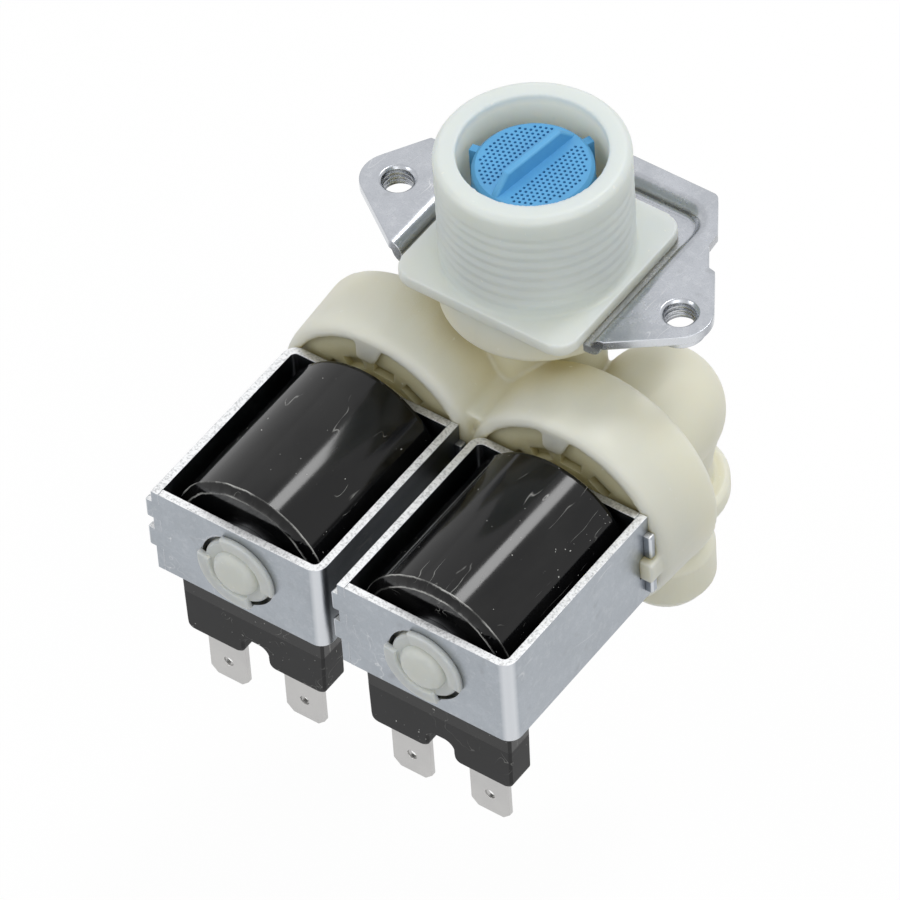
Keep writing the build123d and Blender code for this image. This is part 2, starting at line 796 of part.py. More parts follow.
def make_overmould(unit_x):
    """Black resin round the winding, with the terminal block hanging from its front end."""
    cavity = bobbin_cheek_d / 2 + fit_gap
    block_half_width = coil_d / 2 - block_side_gap
    with BuildPart() as overmould:
        block_front = front_wall + block_front_gap
        with BuildSketch(station_plane(block_front + block_depth, unit_x)) as block_face:
            with BuildLine():
                Polyline(
                    (-block_half_width, 0),
                    (-block_half_width + block_draft, -block_bottom),
                    (block_half_width - block_draft, -block_bottom),
                    (block_half_width, 0),
                    close=True,
                )
            make_face()
            with Locations((0, -block_bottom)):
                Rectangle(notch_width, 2 * notch_height, mode=Mode.SUBTRACT)
        extrude(amount=block_depth)
        lower = overmould.edges().filter_by(Axis.Y).filter_by_position(
            Axis.Z, axis_z - block_bottom - 0.1, axis_z - block_bottom + notch_height + 0.1
        )
        fillet(lower, radius=notch_r)
        front_rim = overmould.faces().sort_by(Axis.Y)[0].edges()
        chamfer(front_rim.filter_by_position(Axis.Z, axis_z - block_bottom - 1, axis_z - 1), block_edge_chamfer)
        drum = section(
            unit_x,
            [
                (coil_back, 0),
                (coil_back, coil_d / 2 - coil_back_edge),
                (coil_back - coil_back_edge * 0.3, coil_d / 2 - coil_back_edge * 0.3),
                (coil_back - coil_back_edge, coil_d / 2),
                (coil_front + coil_chamfer_run, coil_d / 2),
                (coil_front, coil_d / 2 - coil_chamfer),
                (coil_front, 0),
            ],
        )
        revolve(drum, axis=unit_axis(unit_x))
        hollow = section(
            unit_x,
            [
                (bobbin_back, 0),
                (bobbin_back, cavity),
                (bobbin_front, cavity),
                (bobbin_front, 0),
            ],
        )
        revolve(hollow, axis=unit_axis(unit_x), mode=Mode.SUBTRACT)
        with BuildSketch(station_plane(coil_back, unit_x)) as bore_face:
            Circle(bobbin_bore_d / 2)
        extrude(amount=coil_back - coil_front, mode=Mode.SUBTRACT)
        if block_front < coil_front:
            with BuildSketch(station_plane(coil_front, unit_x)) as front_bore:
                Circle(bobbin_bore_d / 2)
            extrude(amount=coil_front - block_front, mode=Mode.SUBTRACT)
        blade_back = front_wall + blade_setback + blade_thickness / 2
        with BuildSketch(station_plane(blade_back, unit_x)) as blade_slots:
            with Locations((-blade_pitch / 2, -blade_top), (blade_pitch / 2, -blade_top)):
                Rectangle(blade_width, block_bottom, align=(Align.CENTER, Align.MAX))
        extrude(amount=blade_thickness, mode=Mode.SUBTRACT)
    return overmould


def make_blade(unit_x, side):
    """One push-on terminal blade with its detent hole."""
    blade_back = front_wall + blade_setback + blade_thickness / 2
    with BuildPart() as blade:
        with BuildSketch(station_plane(blade_back, unit_x)) as blade_face:
            with Locations((side * blade_pitch / 2, -blade_top)):
                Rectangle(blade_width, blade_bottom - blade_top, align=(Align.CENTER, Align.MAX))
            tips = blade_face.vertices().group_by(Axis.Y)[0]
            chamfer(tips, blade_tip_chamfer)
            with Locations((side * blade_pitch / 2, -blade_bottom + blade_hole_height)):
                Circle(blade_hole_d / 2, mode=Mode.SUBTRACT)
        extrude(amount=blade_thickness)
    return blade


guide_end = frame_front - dome_rise
bore_end = frame_front + guide_end_wall


def make_bonnet(unit_x):
    """Clamping flange, boss and guide tube in one moulding, snapped through the frame."""
    outer = bell_opening_d / 2 - bonnet_clearance
    boss_front = frame_steel + fit_gap
    flange_back = bonnet_flange_front + bonnet_flange_thickness
    with BuildPart() as bonnet:
        body = section(
            unit_x,
            [
                (guide_end, 0),
                (guide_end, dome_r * 0.55),
                (guide_end + dome_rise * 0.2, dome_r * 0.85),
                (guide_end + dome_rise * 0.6, dome_r),
                (frame_front - guide_proud, dome_r),
                (frame_front - guide_proud, guide_d / 2 - guide_proud),
                (frame_front, guide_d / 2),
                (boss_front, guide_d / 2),
                (boss_front, bonnet_boss_d / 2),
                (bonnet_flange_front, bonnet_boss_d / 2),
                (bonnet_flange_front, outer),
                (flange_back, outer),
                (flange_back, bonnet_cavity_d / 2),
                (bonnet_cavity_front, bonnet_cavity_d / 2),
                (bonnet_cavity_front, guide_bore_d / 2),
                (bore_end, guide_bore_d / 2),
                (bore_end, 0),
            ],
        )
        revolve(body, axis=unit_axis(unit_x))
        # Lightening windows round the flange
        with BuildSketch(station_plane(bonnet_flange_front + window_depth, unit_x)) as windows:
            with PolarLocations((window_inner_r + window_outer_r) / 2, window_count, start_angle=window_turn):
                Rectangle(window_outer_r - window_inner_r, window_width)
        extrude(amount=window_depth, mode=Mode.SUBTRACT)
        # Two crescent lugs snapped out in front of the frame's front wall
        snap_outer_r = guide_d / 2 + snap_reach
        with BuildSketch(station_plane(frame_front - fit_gap, unit_x)) as snaps:
            for turn in snap_turns:
                with BuildLine():
                    outside = CenterArc((0, 0), snap_outer_r, turn - snap_span / 2, snap_span)
                    inside = CenterArc((0, 0), snap_inner_r, turn - snap_span / 2, snap_span)
                    Line(outside @ 0, inside @ 0)
                    Line(outside @ 1, inside @ 1)
                make_face()
        extrude(amount=snap_thickness)
        snap_front = bonnet.faces().filter_by(Axis.Y).filter_by_position(
            Axis.Y, back_wall_y + guide_end + fit_gap, back_wall_y + frame_front - snap_thickness
        )
        fillet(snap_front.edges(), radius=snap_thickness / 3)
    return bonnet


def make_diaphragm(unit_x):
    """Rubber diaphragm: a clamped bead, a thin web and a centre that shuts the outlet."""
    bead_out = bell_opening_d / 2 - bonnet_clearance
    bead_in = chamber_d / 2 - 0.1
    hub = carrier_hub_d / 2
    with BuildPart() as diaphragm:
        outline = section(
            unit_x,
            [
                (diaphragm_front, bead_in),
                (diaphragm_front, bead_out),
                (diaphragm_front + diaphragm_rim, bead_out),
                (diaphragm_front + diaphragm_rim, bead_in),
                (outlet_seat - 0.35, bead_in - 1.0),
                (outlet_seat, carrier_d / 2 - 1.0),
                (outlet_seat, hub),
                (outlet_seat - membrane, hub),
                (outlet_seat - membrane, carrier_d / 2 + 0.4),
                (diaphragm_front + 0.9, bead_in - 0.6),
            ],
        )
        revolve(outline, axis=unit_axis(unit_x))
    return diaphragm


def make_carrier(unit_x):
    """Stiff carrier on the diaphragm, with the pilot hole and guide fins for the outlet."""
    hub = carrier_hub_d / 2
    fin_r = outlet_bore_d / 2 - 0.3
    with BuildPart() as carrier:
        outline = section(
            unit_x,
            [
                (carrier_front, pilot_bore_d / 2),
                (carrier_front, pilot_bore_d / 2 + 0.7),
                (carrier_face, pilot_bore_d / 2 + 1.2),
                (carrier_face, carrier_d / 2),
                (outlet_seat - membrane, carrier_d / 2),
                (outlet_seat - membrane, hub),
                (outlet_seat + carrier_tail, hub - 0.5),
                (outlet_seat + carrier_tail, pilot_bore_d / 2),
            ],
        )
        revolve(outline, axis=unit_axis(unit_x))
        with BuildSketch(station_plane(outlet_seat + carrier_tail, unit_x)) as fins:
            with PolarLocations((fin_r + hub - 0.9) / 2, 4):
                Rectangle(fin_r - hub + 0.9, 0.8)
        extrude(amount=carrier_tail - 0.4)
    return carrier


plunger_back = carrier_front - seal_proud
plunger_front = plunger_back - plunger_length


def make_plunger(unit_x):
    """Steel plunger, bored at the back for its seal and at the front for its spring."""
    with BuildPart() as plunger:
        outline = section(
            unit_x,
            [
                (plunger_front, spring_d / 2 + spring_play),
                (plunger_front, plunger_d / 2 - 0.5),
                (plunger_front + 0.5, plunger_d / 2),
                (plunger_back - 1.4, plunger_d / 2),
                (plunger_back, plunger_d / 2 - 0.8),
                (plunger_back, seal_d / 2),
                (plunger_back - 2.2, seal_d / 2),
                (plunger_back - 2.2, 0),
                (plunger_front + spring_seat_depth, 0),
                (plunger_front + spring_seat_depth, spring_d / 2 + spring_play),
            ],
        )
        revolve(outline, axis=unit_axis(unit_x))
    return plunger


def make_seal(unit_x):
    """Rubber button in the plunger's end that shuts the pilot hole."""
    with BuildPart() as seal:
        outline = section(
            unit_x,
            [
                (plunger_back - 2.2, 0),
                (plunger_back - 2.2, seal_d / 2),
                (plunger_back + 0.2, seal_d / 2),
                (plunger_back + seal_proud, 1.7),
                (plunger_back + seal_proud, 0),
            ],
        )
        revolve(outline, axis=unit_axis(unit_x))
    return seal


def make_spring(unit_x):
    """Return spring between the end of the guide tube and the bottom of the plunger's bore."""
    back = plunger_front + spring_seat_depth
    wire = spring_wire_d / 2
    length = back - bore_end - spring_wire_d
    with BuildPart() as spring:
        with BuildLine():
            helix = Helix(
                pitch=length / spring_turns,
                height=length,
                radius=spring_d / 2 - wire,
                center=(unit_x, back_wall_y + bore_end + wire, axis_z),
                direction=(0, 1, 0),
            )
        with BuildSketch(Plane(helix @ 0, z_dir=helix % 0)):
            Circle(wire)
        sweep(is_frenet=True)
    return spring


for side_name, unit_x in units.items():
    keep(make_frame_front(unit_x), f"{side_name}_coil_frame_front")
    keep(make_frame_back(unit_x), f"{side_name}_coil_frame_back")
    keep(make_sleeve(unit_x, front_wall, 1), f"{side_name}_pole_sleeve_front")
    keep(make_sleeve(unit_x, 0.0, -1), f"{side_name}_pole_sleeve_back")
    keep(make_bobbin(unit_x), f"{side_name}_coil_bobbin")
    keep(make_winding(unit_x), f"{side_name}_coil_winding")
    keep(make_overmould(unit_x), f"{side_name}_coil_overmould")
    keep(make_blade(unit_x, -1), f"{side_name}_terminal_outer")
    keep(make_blade(unit_x, 1), f"{side_name}_terminal_inner")
    keep(make_bonnet(unit_x), f"{side_name}_bonnet")
    keep(make_diaphragm(unit_x), f"{side_name}_diaphragm")
    keep(make_carrier(unit_x), f"{side_name}_diaphragm_carrier")
    keep(make_plunger(unit_x), f"{side_name}_plunger")
    keep(make_seal(unit_x), f"{side_name}_plunger_seal")
    keep(make_spring(unit_x), f"{side_name}_plunger_spring")
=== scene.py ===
"""Looks of a washing machine inlet valve: two solenoid valves on one natural nylon moulding.

Metres, in the part's own frame: +Z up along the inlet spigot, the solenoids along Y with
their connectors at -Y. Sizes of small things are written in millimetres, as n * MM.
"""

from math import atan2, cos, hypot, pi, radians, sin

import bmesh
import bpy
from mathutils import Matrix, Vector


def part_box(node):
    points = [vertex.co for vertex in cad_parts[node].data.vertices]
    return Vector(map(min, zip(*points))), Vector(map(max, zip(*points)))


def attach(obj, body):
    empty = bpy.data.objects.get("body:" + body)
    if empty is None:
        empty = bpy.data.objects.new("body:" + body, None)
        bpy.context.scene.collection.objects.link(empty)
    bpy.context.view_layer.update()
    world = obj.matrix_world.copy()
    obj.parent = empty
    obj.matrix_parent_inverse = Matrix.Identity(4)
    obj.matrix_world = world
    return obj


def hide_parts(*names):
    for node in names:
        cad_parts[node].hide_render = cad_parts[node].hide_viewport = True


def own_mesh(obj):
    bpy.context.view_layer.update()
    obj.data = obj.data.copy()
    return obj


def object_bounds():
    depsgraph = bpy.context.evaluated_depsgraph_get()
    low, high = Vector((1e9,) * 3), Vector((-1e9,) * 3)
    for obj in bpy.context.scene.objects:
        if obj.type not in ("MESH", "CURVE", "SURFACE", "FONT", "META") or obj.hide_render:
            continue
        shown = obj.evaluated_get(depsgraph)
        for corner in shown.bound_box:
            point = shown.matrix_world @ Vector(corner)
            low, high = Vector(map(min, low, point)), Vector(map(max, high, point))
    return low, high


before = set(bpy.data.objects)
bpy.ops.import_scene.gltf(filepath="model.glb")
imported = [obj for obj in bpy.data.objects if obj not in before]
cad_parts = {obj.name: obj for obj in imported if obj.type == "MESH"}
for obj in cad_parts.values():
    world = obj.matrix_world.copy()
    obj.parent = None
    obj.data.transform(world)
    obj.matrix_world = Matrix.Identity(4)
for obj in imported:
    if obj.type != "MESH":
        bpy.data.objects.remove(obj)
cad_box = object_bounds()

MM = 0.001
SIDES = ("left", "right")
scene = bpy.context.scene

# Sizes and places that the dressing takes from the part
unit_x = {side: sum(corner.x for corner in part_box(f"{side}_coil_overmould")) / 2 for side in SIDES}
axis_z = -27.2 * MM
spigot_d = 26.4 * MM
spigot_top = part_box("valve_body")[1].z
filter_top = spigot_top - 2.9 * MM
coil_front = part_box("left_coil_overmould")[0].y + 0.7 * MM

# Camera at the photograph's angle
camera_aim = Vector((1.679, -23.959, -17.095)) * MM
camera_azimuth = radians(38.420)
camera_elevation = radians(47.451)
camera_roll = radians(-4.209)
camera_distance = 1.18
camera_lens = 357.278
camera_sensor = 36


def place_camera():
    """Long lens that looks down at the valve from its front right."""
    camera = bpy.data.objects.new("camera", bpy.data.cameras.new("camera"))
    camera.data.lens = camera_lens
    camera.data.sensor_width = camera_sensor
    camera.data.clip_start = 0.05
    camera.data.clip_end = 20
    back = Vector((
        sin(camera_azimuth) * cos(camera_elevation),
        -cos(camera_azimuth) * cos(camera_elevation),
        sin(camera_elevation),
    ))
    camera.location = camera_aim + back * camera_distance
    camera.rotation_mode = "QUATERNION"
    level = (-back).to_track_quat("-Z", "Y")
    camera.rotation_quaternion = level @ Matrix.Rotation(camera_roll, 3, "Z").to_quaternion()
    scene.collection.objects.link(camera)
    scene.camera = camera


class Wire:
    """An output socket in a tree. Arithmetic on it adds Math nodes."""

    def __init__(self, tree, socket):
        self.tree = tree
        self.socket = socket

    def maths(self, operation, *values):
        inputs = dict(enumerate((self, *values)))
        return self.tree.node("ShaderNodeMath", {"operation": operation}, inputs)

    def __add__(self, other):
        return self.maths("ADD", other)

    def __sub__(self, other):
        return self.maths("SUBTRACT", other)

    def __rsub__(self, other):
        return (self * -1.0).maths("ADD", other)

    def __mul__(self, other):
        return self.maths("MULTIPLY", other)

    def __truediv__(self, other):
        return self.maths("DIVIDE", other)

    def above(self, other):
        return self.maths("GREATER_THAN", other)

    def highest(self, other):
        return self.maths("MAXIMUM", other)

    def lowest(self, other):
        return self.maths("MINIMUM", other)

    def clipped(self):
        """The value, held between 0 and 1."""
        return self.highest(0.0).lowest(1.0)

    __radd__ = __add__


class Tree:
    """A node tree whose nodes are added by one method."""

    def __init__(self, nodes):
        self.tree = nodes
        self.tree.nodes.clear()

    def node(self, kind, settings=(), inputs=(), output=0):
        """One node: its settings first, then the values or links of its sockets."""
        made = self.tree.nodes.new(kind)
        for key, value in dict(settings).items():
            if key == "stops":
                self.set_stops(made.color_ramp, value)
            else:
                setattr(made, key, value)
        for key, value in dict(inputs).items():
            if isinstance(value, Wire):
                self.tree.links.new(value.socket, made.inputs[key])
            else:
                made.inputs[key].default_value = value
        return Wire(self, made.outputs[output]) if made.outputs else None

    @staticmethod
    def set_stops(ramp, stops):
        """Give a colour ramp its (position, grey level) stops."""
        while len(ramp.elements) < len(stops):
            ramp.elements.new(1.0)
        for element, (position, value) in zip(ramp.elements, stops):
            element.position = position
            element.color = (value, value, value, 1)


class Finish(Tree):
    """A procedural material that reads the piece's own coordinates."""

    def __init__(self, name):
        self.material = bpy.data.materials.new(name)
        self.material.use_nodes = True
        super().__init__(self.material.node_tree)
        self.place = self.node("ShaderNodeTexCoord", output="Object")

    def axis(self, letter):
        """One coordinate, in millimetres."""
        return self.node("ShaderNodeSeparateXYZ", {}, {0: self.place}, output=letter) / MM

    def noise(self, size, detail=3.0, roughness=0.5, place=None):
        """Noise whose features are about `size` metres across."""
        inputs = {
            "Vector": place or self.place,
            "Scale": 1 / size,
            "Detail": detail,
            "Roughness": roughness,
        }
        return self.node("ShaderNodeTexNoise", {"noise_dimensions": "3D"}, inputs)

    def stretched(self, scale, turn=(0, 0, 0)):
        """The piece's coordinates, scaled and turned for a pattern that runs one way."""
        inputs = {"Vector": self.place, "Scale": scale, "Rotation": turn}
        return self.node("ShaderNodeMapping", {}, inputs)

    def ramp(self, value, *stops):
        """Grey level that follows (position, level) stops."""
        return self.node("ShaderNodeValToRGB", {"stops": stops}, {0: value})

    def mix(self, first, second, share):
        """Colour between two colours."""
        inputs = {0: share, 6: first, 7: second}
        return self.node("ShaderNodeMix", {"data_type": "RGBA"}, inputs, output=2)

    def fine_bump(self, height, distance, strength):
        inputs = {"Height": height, "Distance": distance, "Strength": strength}
        return self.node("ShaderNodeBump", {}, inputs)

    def facing(self, letter):
        """How squarely the surface faces along an axis, either way."""
        normal = self.node("ShaderNodeTexCoord", output="Normal")
        return self.node("ShaderNodeSeparateXYZ", {}, {0: normal}, output=letter).maths("ABSOLUTE")

    def hollow(self, reach):
        """How much of the sky is shut out by surfaces within reach: 0 in the open."""
        inputs = {"Distance": reach}
        sky = self.node("ShaderNodeAmbientOcclusion", {"samples": 4}, inputs, output="AO")
        return 1.0 - sky

    def flecks(self, size, low, high, detail=1.0):
        """Small separate spots, where the noise tops a level."""
        return self.ramp(self.noise(size, detail=detail), (low, 0.0), (high, 1.0))

    def scratches(self, size, turn, width=0.006):
        """Hairlines along one direction, only in some places."""
        along = self.noise(size, detail=2, place=self.stretched((1, 0.2, 1), turn))
        line = self.ramp((along - 0.5).maths("ABSOLUTE"), (0.0, 1.0), (width, 0.0))
        place = self.ramp(self.noise(size * 2.2), (0.59, 0.0), (0.66, 1.0))
        return line * place

    def finish_with(self, **sockets):
        """Feed the shader. Names of sockets are written with _ for a space."""
        inputs = {name.replace("_", " "): value for name, value in sockets.items()}
        self.close(self.node("ShaderNodeBsdfPrincipled", {}, inputs))
        return self.material

    def close(self, shader):
        self.node("ShaderNodeOutputMaterial", {}, {"Surface": shader})


def rgb(red, green, blue):
    """Linear colour from the 0 to 255 values that a picture shows."""
    def linear(value):
        value /= 255
        return value / 12.92 if value <= 0.04045 else ((value + 0.055) / 1.055) ** 2.4
    return (linear(red), linear(green), linear(blue), 1)


# The lighter wall of the spigot's bore, in millimetres: a radius just past it, the height where
# it ends, and how far below the rim it starts
bore_r = 11.0
bore_foot = 5.0
lip_depth = 0.6


def inside_bore(finish):
    """1 on the wall of the spigot's bore, which light from outside brightens, and 0 elsewhere."""
    aside, along = finish.axis("X"), finish.axis("Y")
    from_axis = (aside * aside + along * along).maths("SQRT")
    near = ((from_axis - bore_r) * -2.0).clipped() * finish.axis("Z").above(bore_foot)
    return near * ((finish.axis("Z") - spigot_top / MM + lip_depth) * -1.0).clipped()


def nylon(name, cool, warm, shade_colour, letter="Z", warm_from=1.5, warm_to=-7.0):
    """Natural nylon: waxy and see-through; painted light keeps thin lit ends cool, painted shade
    turns folds olive.

    The colour turns from cool to warm along one axis, between two places in millimetres.
    """
    finish = Finish(name)
    limits = {0: finish.axis(letter), 1: warm_from, 2: warm_to, 3: 0.0, 4: 1.0}
    height = finish.node("ShaderNodeMapRange", {}, limits)
    cloud = finish.noise(9 * MM, detail=2)
    # Partly painted light: cool where the nylon is thin and lit, warm further in, over its own tint
    base = finish.mix(cool, warm, (height + (cloud - 0.5) * 0.4).clipped())
    # Painted light: the bore's wall is painted lighter for the light that comes through the nylon
    base = finish.mix(base, rgb(252, 247, 230), inside_bore(finish))
    # Painted shade: where nearby surfaces shut out the sky, in the warm part, the nylon turns olive
    shade = (finish.hollow(9 * MM) * 1.5 - 0.4).clipped()
    colour = finish.mix(base, shade_colour, shade * height)
    grain = finish.noise(0.35 * MM, detail=4)
    swirl = finish.noise(4 * MM, detail=3)
    specks = finish.flecks(1.1 * MM, 0.76, 0.79)
    relief = grain * 0.25 + finish.noise(2.2 * MM, detail=2)
    return finish.finish_with(
        Base_Color=finish.mix(colour, rgb(240, 240, 228), specks * 0.5),
        Roughness=0.34 + swirl * 0.16,
        Normal=finish.fine_bump(relief, 0.03 * MM, 0.5),
        IOR=1.53,
        Subsurface_Weight=0.75,
        Subsurface_Radius=(1.0, 0.9, 0.7),
        Subsurface_Scale=6 * MM,
    )


def zinc(name, tone, rough, lit_cut_edges, reach, clear_of=0.0):
    """Zinc plated steel strip: cloudy, with a painted highlight along its bends.

    The third argument, how strongly faces that look up get a lighter sheared tone, is partly
    painted light; reach is how far away a surface still casts painted shade on it, and nearer to
    the middle than clear_of millimetres none is painted.
    """
    finish = Finish(name)
    rolled = finish.noise(0.5 * MM, detail=4, place=finish.stretched((1, 1, 0.18)))
    cloud = finish.noise(6 * MM, detail=4, roughness=0.6)
    bloom = finish.noise(1.3 * MM, detail=5, roughness=0.7)
    speckle = finish.noise(0.24 * MM, detail=2)
    darker = finish.mix(tone, rgb(104, 110, 116), 0.25)
    base = finish.mix(darker, tone, (cloud * 2.4 - 0.55).clipped())
    base = finish.mix(base, rgb(226, 228, 230), (bloom - 0.5).highest(0.0) * 0.9)
    stains = finish.flecks(2.6 * MM, 0.62, 0.74, detail=5) * 0.35
    base = finish.mix(base, rgb(112, 116, 121), stains)
    base = finish.mix(base, rgb(124, 128, 132), (speckle - 0.42).highest(0.0) * 0.5)
    rubbed = finish.scratches(5.0 * MM, (0.2, 0.4, 0.3), 0.005)
    rubbed = rubbed + finish.scratches(3.6 * MM, (0.1, -0.6, 0.9), 0.005)
    base = finish.mix(base, rgb(224, 225, 226), rubbed.lowest(1.0) * 0.6)
    # Painted highlight: faces that turn between X and Y, along the bends, are painted lighter
    bend_highlight = finish.ramp(finish.facing("X") * finish.facing("Y"), (0.12, 0.0), (0.42, 0.85))
    base = finish.mix(base, rgb(218, 221, 225), bend_highlight)
    # Partly painted light: faces that look up get the lighter sheared tone of a lit top edge; the
    # torn flecks are the steel's own
    edge = finish.ramp(finish.facing("Z"), (0.75, 0.0), (0.95, lit_cut_edges))
    torn = finish.flecks(0.32 * MM, 0.46, 0.70, detail=3)
    sheared = finish.mix(rgb(232, 233, 234), rgb(138, 140, 143), torn * 0.6)
    colour = finish.mix(base, sheared, edge)
    # Painted shade: near other surfaces the zinc turns dark blue grey, past clear_of from the middle
    shade = (finish.hollow(reach) * 1.6 - 0.5).clipped()
    shade = shade * finish.axis("X").maths("ABSOLUTE").above(clear_of)
    colour = finish.mix(colour, rgb(24, 29, 33), shade * 0.94)
    relief = rolled * 0.5 + finish.noise(0.22 * MM, detail=3) * edge
    return finish.finish_with(
        Base_Color=colour,
        Metallic=1.0,
        Roughness=rough + (cloud - 0.5) * 0.2 + (bloom - 0.5) * 0.15 + edge * 0.15,
        Normal=finish.fine_bump(relief, 0.02 * MM, 0.5),
    )


# Where the resin changes, in millimetres: the radius of the pale edge on the drum's front, the
# pale line behind that front, and how far below the unit's axis the matt block begins
pale_edge_r = 11.1
pale_line_depth = 0.92
block_drop = 12.6


def resin(name):
    """Glossy black resin drum over a matt block, with dust, scratches and a pale line along its
    front edge.
    """
    finish = Finish(name)
    block = finish.ramp(finish.axis("Z") - (axis_z / MM - block_drop), (0.0, 1.0), (0.4, 0.0))
    crowd = finish.ramp(finish.noise(8 * MM, detail=1), (0.52, 0.0), (0.64, 0.06))
    dust = finish.ramp(finish.noise(0.5 * MM, detail=2) + crowd, (0.77, 0.0), (0.80, 1.0))
    worn = finish.scratches(3.0 * MM, (0.3, 0.2, 0.5))
    worn = worn + finish.scratches(4.0 * MM, (0.9, 0.1, -0.6), 0.004)
    station = finish.axis("Y") - coil_front / MM
    aside = finish.axis("X").maths("ABSOLUTE") - abs(unit_x["left"]) / MM
    above = finish.axis("Z") - axis_z / MM
    radius = (aside * aside + above * above).maths("SQRT")
    wander = (finish.noise(2.2 * MM, detail=5, roughness=0.75) - 0.5) * 0.35
    line = ((station - pale_line_depth + wander).maths("ABSOLUTE") * -8.0 + 1.0).highest(0.0)
    edge = ((radius - pale_edge_r + wander * 1.5).maths("ABSOLUTE") * -6.0 + 1.0).highest(0.0)
    rim = line.highest(edge * station.above(-0.3))
    rim = rim * finish.ramp(finish.noise(5.0 * MM, detail=4), (0.40, 0.15), (0.54, 1.0))
    marks = (dust + worn * 0.5 + rim * (1.0 - block)).lowest(1.0)
    smear = finish.noise(7 * MM, detail=4, roughness=0.6, place=finish.stretched((1, 0.4, 1)))
    black = finish.mix(rgb(9, 9, 10), rgb(31, 31, 32), block)
    black = finish.mix(black, rgb(38, 38, 37), finish.ramp(smear, (0.45, 0.0), (0.75, 0.5)))
    return finish.finish_with(
        Base_Color=finish.mix(black, rgb(214, 214, 210), marks * 0.85),
        Roughness=0.06 + smear * 0.12 + block * 0.42 + marks * 0.4,
        Normal=finish.fine_bump(finish.noise(3.5 * MM, detail=1), 0.004 * MM, 0.3),
        IOR=1.38,
    )


def plain(name, colour, rough, metal=0.0, grain=0.5 * MM, depth=0.01 * MM, **more):
    """A finish with a little unevenness in tone, gloss and surface."""
    finish = Finish(name)
    cloud = finish.noise(5 * MM, detail=4)
    darker = (colour[0] * 0.72, colour[1] * 0.72, colour[2] * 0.74, 1)
    return finish.finish_with(
        Base_Color=finish.mix(darker, colour, cloud + 0.2),
        Roughness=rough + (cloud - 0.5) * 0.2,
        Metallic=metal,
        Normal=finish.fine_bump(finish.noise(grain, detail=3), depth, 0.6),
        **more,
    )


def rays_that_see(tree):
    """1 for rays that show the surround to the eye, also in a mirror, and 0 for rays that light."""
    direct = tree.node("ShaderNodeLightPath", output="Is Camera Ray")
    mirrored = tree.node("ShaderNodeLightPath", output="Is Glossy Ray")
    passed = tree.node("ShaderNodeLightPath", output="Is Transmission Ray")
    return direct.highest(mirrored).highest(passed)


# Lamps: name, place, width, height, power in watts and shape. Then the surround's own light
lamps = (
    ("key", (0.46, -0.30, 0.50), 0.45, 0.35, 0.7, "RECTANGLE"),
    ("fill", (-0.31, -0.45, 0.46), 0.22, 0.20, 0.6, "RECTANGLE"),
    ("back", (-0.25, 0.32, 0.44), 0.30, 0.30, 0.05, "RECTANGLE"),
    ("strip", (0.07, 0.26, 0.49), 0.12, 0.26, 0.85, "ELLIPSE"),
)
sky_light = 0.65


def light_scene():
    """Soft studio light from above and both sides, and a white surround."""
    world = bpy.data.worlds.new("surround")
    world.use_nodes = True
    scene.world = world
    surround = Tree(world.node_tree)
    cool = {"Color": (0.99, 0.995, 1.0, 1), "Strength": sky_light}
    soft = surround.node("ShaderNodeBackground", {}, cool)
    white = surround.node("ShaderNodeBackground", {}, {"Color": (1, 1, 1, 1), "Strength": 1.0})
    shares = {0: rays_that_see(surround), 1: soft, 2: white}
    shown = surround.node("ShaderNodeMixShader", {}, shares)
    surround.node("ShaderNodeOutputWorld", {}, {"Surface": shown})
    for name, place, width, height, power, shape in lamps:
        data = bpy.data.lights.new(name, "AREA")
        data.shape = shape
        data.size = width
        data.size_y = height
        data.energy = power
        lamp = bpy.data.objects.new(name, data)
        lamp.location = place
        lamp.rotation_mode = "QUATERNION"
        lamp.rotation_quaternion = (camera_aim - Vector(place)).to_track_quat("-Z", "Y")
        scene.collection.objects.link(lamp)


# Floor: how far below the valve it lies, how far it goes each way, its grey under the lamps, and
# the white that is mixed over it for the eye
floor_drop = 40 * MM
floor_reach = 3.0
floor_grey = 0.57
floor_white = 1.05
floor_white_share = 0.9


def lay_floor():
    """Pale floor under the valve, white to the eye apart from the shadow."""
    level = cad_box[0].z - floor_drop
    mesh = bpy.data.meshes.new("floor")
    turns = ((-1, -1), (1, -1), (1, 1), (-1, 1))
    corners = [(x * floor_reach, y * floor_reach, level) for x, y in turns]
    mesh.from_pydata(corners, [], [(0, 1, 2, 3)])
    floor = bpy.data.objects.new("floor", mesh)
    scene.collection.objects.link(floor)
    finish = Finish("pale_floor")
    grey = (floor_grey, floor_grey, floor_grey, 1)
    paint = finish.node("ShaderNodeBsdfDiffuse", {}, {"Color": grey})
    glow = finish.node("ShaderNodeEmission", {}, {"Color": (1, 1, 1, 1), "Strength": floor_white})
    shares = {0: rays_that_see(finish) * floor_white_share, 1: paint, 2: glow}
    finish.close(finish.node("ShaderNodeMixShader", {}, shares))
    mesh.materials.append(finish.material)


# Corners of a part's triangles that lie nearer than this are one
same_place = 0.001 * MM


def merged_copy(node, name):
    """A part's mesh with its loose triangles joined into one closed surface."""
    shape = bmesh.new()
    shape.from_mesh(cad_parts[node].data)
    bmesh.ops.remove_doubles(shape, verts=shape.verts, dist=same_place)
    mesh = bpy.data.meshes.new(name)
    shape.to_mesh(mesh)
    shape.free()
    piece = bpy.data.objects.new(name, mesh)
    scene.collection.objects.link(piece)
    return piece


def bake_modifiers(piece):
    """Turn a piece with its modifiers into a plain mesh."""
    graph = bpy.context.evaluated_depsgraph_get()
    mesh = bpy.data.meshes.new_from_object(piece.evaluated_get(graph))
    piece.modifiers.clear()
    old = piece.data
    piece.data = mesh
    bpy.data.meshes.remove(old)


# Faces that meet at more than this keep a crease, on plain pieces and on broken edges
crease = radians(35)
edge_crease = radians(50)


